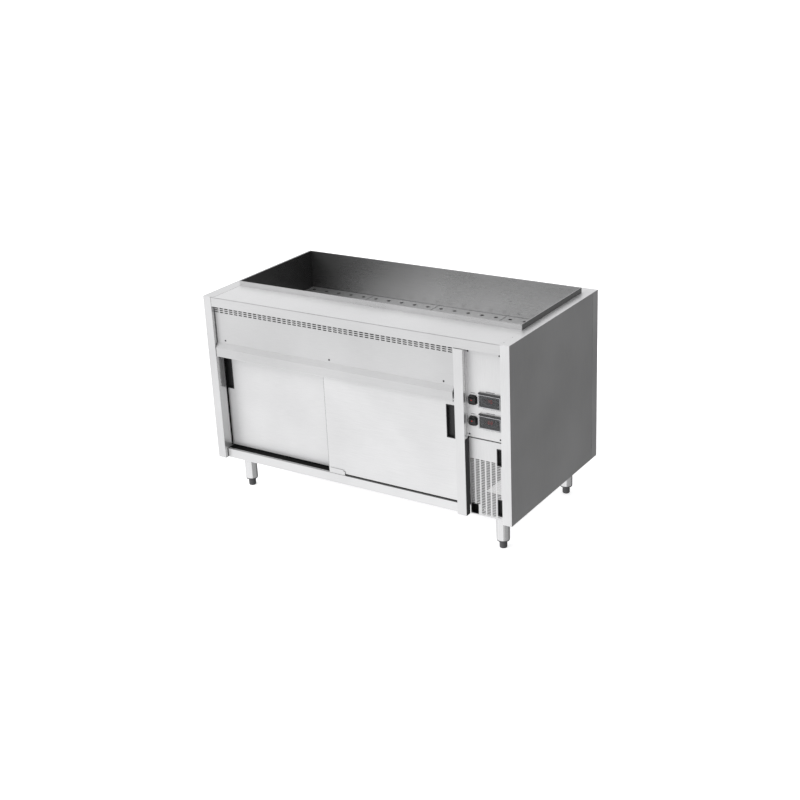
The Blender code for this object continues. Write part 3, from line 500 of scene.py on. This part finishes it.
def slab(x0, x1, z0, z1, corner, back, front, edge):
    """A rounded plate between two planes, its front edge chamfered; front is the smaller y."""
    return loft([rounded(x0, x1, z0, z1, corner, back), rounded(x0, x1, z0, z1, corner, front + edge),
                 rounded(x0, x1, z0, z1, corner, front, edge)])


def collar(outer, inner, back, front, edge, corner):
    """A rounded frame with an opening; outer and inner are (x0, x1, z0, z1)."""
    return loft([rounded(*outer, corner, back), rounded(*outer, corner, front + edge),
                 rounded(*outer, corner, front, edge), rounded(*inner, corner, front, -edge),
                 rounded(*inner, corner, front + edge), rounded(*inner, corner, back)], closed=True)


def turned(rings, centre, direction, steps=24):
    """A turned shape along direction; rings are (shape, radius, height), shape round or hex."""
    frame_of = Vector(direction).to_track_quat("Z", "Y").to_matrix().to_4x4()
    move = Matrix.Translation(Vector(centre)) @ frame_of
    made = []
    for shape, radius, height in rings:
        ring = []
        for step in range(steps):
            angle = 2 * math.pi * step / steps
            reach = radius
            if shape == "hex":
                reach = radius / math.cos(angle % (math.pi / 3) - math.pi / 6)
            ring.append(move @ Vector((reach * math.cos(angle), reach * math.sin(angle), height)))
        made.append(ring)
    return loft(made)


def strip(section, x0, x1):
    """A profile of (y, z) points drawn along x."""
    return loft([[(x, y, z) for y, z in section] for x in (x0, x1)])


def oval(first, second, reach_first, reach_second, steps):
    """Points of an ellipse round (first, second)."""
    angles = [2 * math.pi * step / steps for step in range(steps)]
    return [(first + reach_first * math.cos(angle), second + reach_second * math.sin(angle))
            for angle in angles]


def socket_screw(centre, direction, radius):
    """A button head with a hexagon socket."""
    unit = radius / 3.0
    return turned([("round", 2.95 * unit, 0.0), ("round", 3.0 * unit, 0.35 * unit),
                   ("round", 2.75 * unit, 0.95 * unit), ("round", 2.1 * unit, 1.45 * unit),
                   ("round", 1.5 * unit, 1.6 * unit), ("hex", 1.15 * unit, 1.6 * unit),
                   ("hex", 1.15 * unit, 0.6 * unit)], centre, direction)


def screws():
    """Dark button-head screws in the fascia and in the control panel, and two small rivets on the top."""
    sunk = 0.2 * MM
    low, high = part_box("fascia_panel")
    face = high.y - 1.2 * MM
    across = (low.x + 43 * MM, (low.x + high.x) / 2 - 5 * MM, high.x - 52 * MM)
    for index, x in enumerate(across, start=1):
        piece(f"fascia_screw_{index}",
              socket_screw((x, face + sunk, high.z - 187 * MM), FORWARD, 3.8 * MM),
              "screw", "cabinet")
    low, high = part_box("control_panel")
    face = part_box("vent_panel")[0].y
    places = ((low.x + 6.2 * MM, high.z - 38 * MM), (high.x - 17 * MM, high.z - 38 * MM),
              (low.x + 6.2 * MM, low.z + 11 * MM), (high.x - 18 * MM, low.z + 10 * MM))
    for index, (x, z) in enumerate(places, start=1):
        piece(f"panel_screw_{index}", socket_screw((x, face + sunk, z), FORWARD, 3.6 * MM),
              "screw", "cabinet")
    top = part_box("right_side_panel")
    for index, y in enumerate((27 * MM, 93 * MM), start=1):
        piece(f"top_rivet_{index}",
              turned([("round", 1.9 * MM, 0.0), ("round", 1.9 * MM, 0.2 * MM), ("round", 1.2 * MM, 0.5 * MM),
                      ("round", 0.4 * MM, 0.55 * MM)],
                     (top[0].x + 3.5 * MM, top[0].y + y, top[1].z - 0.1 * MM), UP, 16),
              "mark", "cabinet")


def blank_label(name, middle, half, z0, z1):
    """A blank bar on the control panel in place of a printed word."""
    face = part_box("vent_panel")[0].y
    bar_of_film = slab(middle - half, middle + half, z0, z1, 0.8 * MM,
                       face + 0.1 * MM, face - 0.2 * MM, 0.08 * MM)
    piece(name, bar_of_film, "label", "cabinet")


def switch_fittings():
    """The red lamp in each rocker, and a blank label above each switch."""
    lean = Vector((0.0, -0.938, -0.346))  # the rocker's face looks this way at rest
    for index in (1, 2):
        low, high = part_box(f"switch_{index}_rocker")
        middle = (low.x + high.x) / 2
        centre = Vector((middle - 1.2 * MM, low.y + 2.75 * MM, (low.z + high.z) / 2 + 2.6 * MM))
        dome = ((2.7, -0.4), (2.7, 0.25), (2.3, 0.6), (1.5, 0.85), (0.5, 0.95))
        shape = [("round", radius * MM, height * MM) for radius, height in dome]
        piece(f"switch_{index}_lamp", turned(shape, centre, lean), "lamp", f"switch_{index}_rocker_body")
        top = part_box(f"switch_{index}_housing")[1].z
        blank_label(f"switch_{index}_label", middle, 10 * MM, top + 7.2 * MM, top + 9.4 * MM)


SEGMENTS = {                 # which of the seven bars each digit lights
    "5": "afgcd", "6": "afgedc", "7": "abc", "8": "abcdefg", " ": "",
}


def bar(start, end, half, back, front):
    """One pointed bar of a digit, lying in the display's plane."""
    along = Vector((end[0] - start[0], 0.0, end[1] - start[1])).normalized()
    across = Vector((along.z, 0.0, -along.x)) * half
    first, last = Vector((start[0], 0.0, start[1])), Vector((end[0], 0.0, end[1]))
    outline = [first, first + along * half + across, last - along * half + across, last,
               last - along * half - across, first + along * half - across]
    return loft([[(point.x, y, point.z) for point in outline] for y in (back, front)])


def digit_bars(x, z, wide, tall, lean, half, back, front):
    """The seven bars of a digit whose lower left corner is at x, z."""
    def spot(across, up):
        return x + across * wide + up * tall * lean, z + up * tall
    ends = {"a": (spot(0, 1), spot(1, 1)), "b": (spot(1, 1), spot(1, 0.5)), "c": (spot(1, 0.5), spot(1, 0)),
            "d": (spot(0, 0), spot(1, 0)), "e": (spot(0, 0.5), spot(0, 0)), "f": (spot(0, 1), spot(0, 0.5)),
            "g": (spot(0, 0.5), spot(1, 0.5))}
    gap_share = 0.06
    made = {}
    for name, (start, end) in ends.items():
        trim = (Vector(end) - Vector(start)) * gap_share
        made[name] = bar(Vector(start) + trim, Vector(end) - trim, half, back, front)
    return made


def display(index, reading, left, right, level, face):
    """A controller's dark window, with the lit and the unlit bars of its digits."""
    half_tall = 12.5 * MM
    piece(f"controller_{index}_window",
          slab(left, right, level - half_tall, level + half_tall, 1.6 * MM, face + 0.2 * MM,
               face - 0.5 * MM, 0.25 * MM), "window", "cabinet")
    lit, dark = [], []
    for place, digit in enumerate(reading):
        bars = digit_bars(left + (8 + 12.5 * place) * MM, level - 6 * MM, 6.8 * MM, 12 * MM, 0.08,
                          0.70 * MM, face - 0.4 * MM, face - 0.62 * MM)
        for name, bm in bars.items():
            (lit if name in SEGMENTS[digit] else dark).append(bm)
    piece(f"controller_{index}_digits", merged(lit), "lit", "cabinet")
    piece(f"controller_{index}_digits_off", merged(dark), "unlit", "cabinet")


def key_marks(index, left, keys_left, level, face):
    """Three dots left of the window, and a short tick beside each key."""
    dot = [("round", 1.1 * MM, 0.0), ("round", 1.1 * MM, 0.3 * MM), ("round", 0.5 * MM, 0.45 * MM)]
    marks = [turned(dot, (left - 5.5 * MM, face + 0.1 * MM, level + up * MM), FORWARD, 12)
             for up in (-8, 0, 8)]
    x = keys_left - 3.0 * MM
    marks += [slab(x - 0.6 * MM, x + 0.6 * MM, level + (up - 1.8) * MM, level + (up + 1.8) * MM, 0.3 * MM,
                   face + 0.1 * MM, face - 0.15 * MM, 0.05 * MM) for up in (-8, 8)]
    piece(f"controller_{index}_marks", merged(marks), "mark", "cabinet")


def controller_fittings():
    """For each controller: its display, the marks beside the keys, the cover's moulded rim and a label."""
    for index, reading in ((1, " 75"), (2, " 68")):
        low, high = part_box(f"controller_{index}_cover")
        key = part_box(f"controller_{index}_key_up")
        middle = (low.x + high.x) / 2
        level = (key[0].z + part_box(f"controller_{index}_key_down")[1].z) / 2
        face = key[0].y + 1.2 * MM
        left, right = middle - 30 * MM, middle + 21 * MM
        display(index, reading, left, right, level, face)
        key_marks(index, left, key[0].x, level, face)
        outer = (low.x, high.x, low.z + 3.1 * MM, high.z)
        inner = (low.x + 2.6 * MM, high.x - 2.6 * MM, low.z + 6.2 * MM, high.z - 2.0 * MM)
        front = low.y + 3.4 * MM
        piece(f"controller_{index}_cover_rim",
              collar(outer, inner, front, front - 0.55 * MM, 0.2 * MM, 1.2 * MM),
              "rim", f"controller_{index}_cover_body")
        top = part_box(f"controller_{index}")[1].z
        blank_label(f"controller_{index}_label", middle, 19 * MM, top + 4.4 * MM, top + 7.0 * MM)


def door_shade_strips():
    """A black brush under each door, and a soft bulb on the right door's meeting edge: dark parts in gaps
    where there is only shade, painted shade.
    """
    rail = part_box("base_panel")[1].z
    for side in ("left", "right"):
        low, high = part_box(f"door_{side}_skin")
        front = low.y + 1.6 * MM
        top, foot = low.z + 0.4 * MM, rail + 1.9 * MM
        section = [(front, top), (front + 0.4 * MM, foot + 0.6 * MM), (front + 1.4 * MM, foot),
                   (front + 9.0 * MM, foot), (front + 10.0 * MM, foot + 0.6 * MM), (front + 10.4 * MM, top)]
        # the black brush fills the gap under the door: painted shade
        piece(f"door_{side}_brush", strip(section, low.x + 2 * MM, high.x - 2 * MM), "shade_brush", f"door_{side}")
    low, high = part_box("door_right_skin")
    # the black bulb on the right door's meeting edge: a painted shadow line between the doors
    bulb = oval(low.x - 0.6 * MM, low.y + 1.5 * MM, 1.2 * MM, 1.3 * MM, 12)
    rings = [[(x, y, z) for x, y in bulb] for z in (low.z + 2 * MM, high.z - 2 * MM)]
    piece("door_right_edge_shade_seal", loft(rings), "black", "door_right", 60.0)


def upright_strip(x0, x1, y0, y1, z0, z1, edge=0.25 * MM):
    """A bar with chamfered corners drawn along z."""
    outline = [(x0 + edge, y0), (x1 - edge, y0), (x1, y0 + edge), (x1, y1 - edge), (x1 - edge, y1),
               (x0 + edge, y1), (x0, y1 - edge), (x0, y0 + edge)]
    return loft([[(x, y, z) for x, y in outline] for z in (z0, z1)])


def sill_and_jamb_shade_strips():
    """Black runners on the rail under the doors, a seal on the left jamb and one beside the service door:
    dark strips in gaps where there is only shade, painted shade.
    """
    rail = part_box("base_panel")
    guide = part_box("door_guide")
    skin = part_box("door_left_skin")
    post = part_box("left_side_panel")[0].x + 40 * MM
    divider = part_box("divider_post")
    foot, top = rail[1].z + 0.05 * MM, rail[1].z + 1.0 * MM
    front, back = rail[0].y + 13 * MM, skin[1].y + 10 * MM
    section = [(front, foot), (front + 0.5 * MM, top - 0.2 * MM), (front + 1.2 * MM, top),
               (back - 1.0 * MM, top), (back, foot)]
    for side, x0, x1 in (("left", post + 1.0 * MM, guide[0].x - 1.0 * MM),
                         ("right", guide[1].x + 1.0 * MM, divider[0].x - 1.5 * MM)):
        # black runners on the rail's top under the doors: painted shade
        piece(f"rail_shade_runner_{side}", strip(section, x0, x1), "shade_brush", "cabinet")
    # a black strip on the left jamb, in front of the door: painted shade in the gap
    piece("left_jamb_shade_strip",
          upright_strip(post + 0.05 * MM, post + 1.5 * MM, skin[0].y - 7.5 * MM, skin[0].y - 0.7 * MM,
                        skin[0].z + 0.5 * MM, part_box("fascia_panel")[0].z - 1.0 * MM),
          "shade_brush", "cabinet")
    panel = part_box("vent_panel")
    # a dark rubber strip in the gap beside the service door: painted shade
    piece("service_door_shade_strip",
          upright_strip(divider[1].x + 0.05 * MM, divider[1].x + 0.9 * MM, divider[0].y + 2.0 * MM,
                        panel[0].y - 1.2 * MM, panel[0].z + 0.5 * MM, panel[1].z - 0.5 * MM),
          "rubber", "cabinet")


def hood_edge():
    """The hood's rolled lower edge, in a lighter, glossier steel whose lighter grey is a painted highlight.
    """
    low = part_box("fascia_panel")[0]
    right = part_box("divider_post")[0].x - 8.6 * MM
    section = oval(low.y + 1.2 * MM, low.z + 1.2 * MM, 1.25 * MM, 1.25 * MM, 16)
    piece("hood_edge_roll", strip(section, low.x + 0.1 * MM, right),
          "polished_highlight", "cabinet", 60.0)


def vent_shade_sheet():
    """A near-black flat sheet with almost no reflection close behind the fascia's vent slots: painted shade
    that keeps the slots dark.
    """
    low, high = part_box("fascia_panel")
    y0, y1 = high.y + 0.3 * MM, high.y + 1.3 * MM
    z0, z1 = high.z - 76 * MM, high.z - 34 * MM
    section = [(y0, z0), (y1, z0), (y1, z1), (y0, z1)]
    piece("vent_shade_sheet", strip(section, low.x + 2 * MM, high.x - 2 * MM), "slot_shade", "cabinet")


def port_sleeve():
    """The black sleeve that lines the drain's opening in the service panel, with two rubber flaps."""
    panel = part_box("vent_panel")
    x0, x1 = panel[0].x + 4.7 * MM, panel[0].x + 34.3 * MM
    z0, z1 = panel[0].z + 6.6 * MM, panel[0].z + 47.2 * MM
    wall, rim = 1.1 * MM, 1.4 * MM
    hole = (x0 + wall, x1 - wall, z0 + wall, z1 - wall)
    front, back = panel[0].y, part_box("drain_lever")[0].y - 0.9 * MM
    tube = collar((x0, x1, z0, z1), hole, back, front, 0.2 * MM, 0.6 * MM)
    middle = (x0 + x1) / 2
    flaps = [slab(a, b, z0 + wall, z1 - wall, 0.4 * MM, back - 0.1 * MM, back - 1.3 * MM, 0.3 * MM)
             for a, b in ((x0 + wall, middle - 0.2 * MM), (middle + 0.2 * MM, x1 - wall))]
    lip = collar((x0 - rim, x1 + rim, z0 - rim, z1 + rim), hole, front - 0.1 * MM, front - 1.0 * MM,
                 0.3 * MM, 1.0 * MM)
    piece("drain_port_sleeve", merged([tube, lip]), "black", "service_door")
    piece("drain_port_flaps", merged(flaps), "shade_brush", "service_door")


studio()
finishes()
dress_nodes()
screws()
switch_fittings()
controller_fittings()
door_shade_strips()
sill_and_jamb_shade_strips()
hood_edge()
vent_shade_sheet()
port_sleeve()
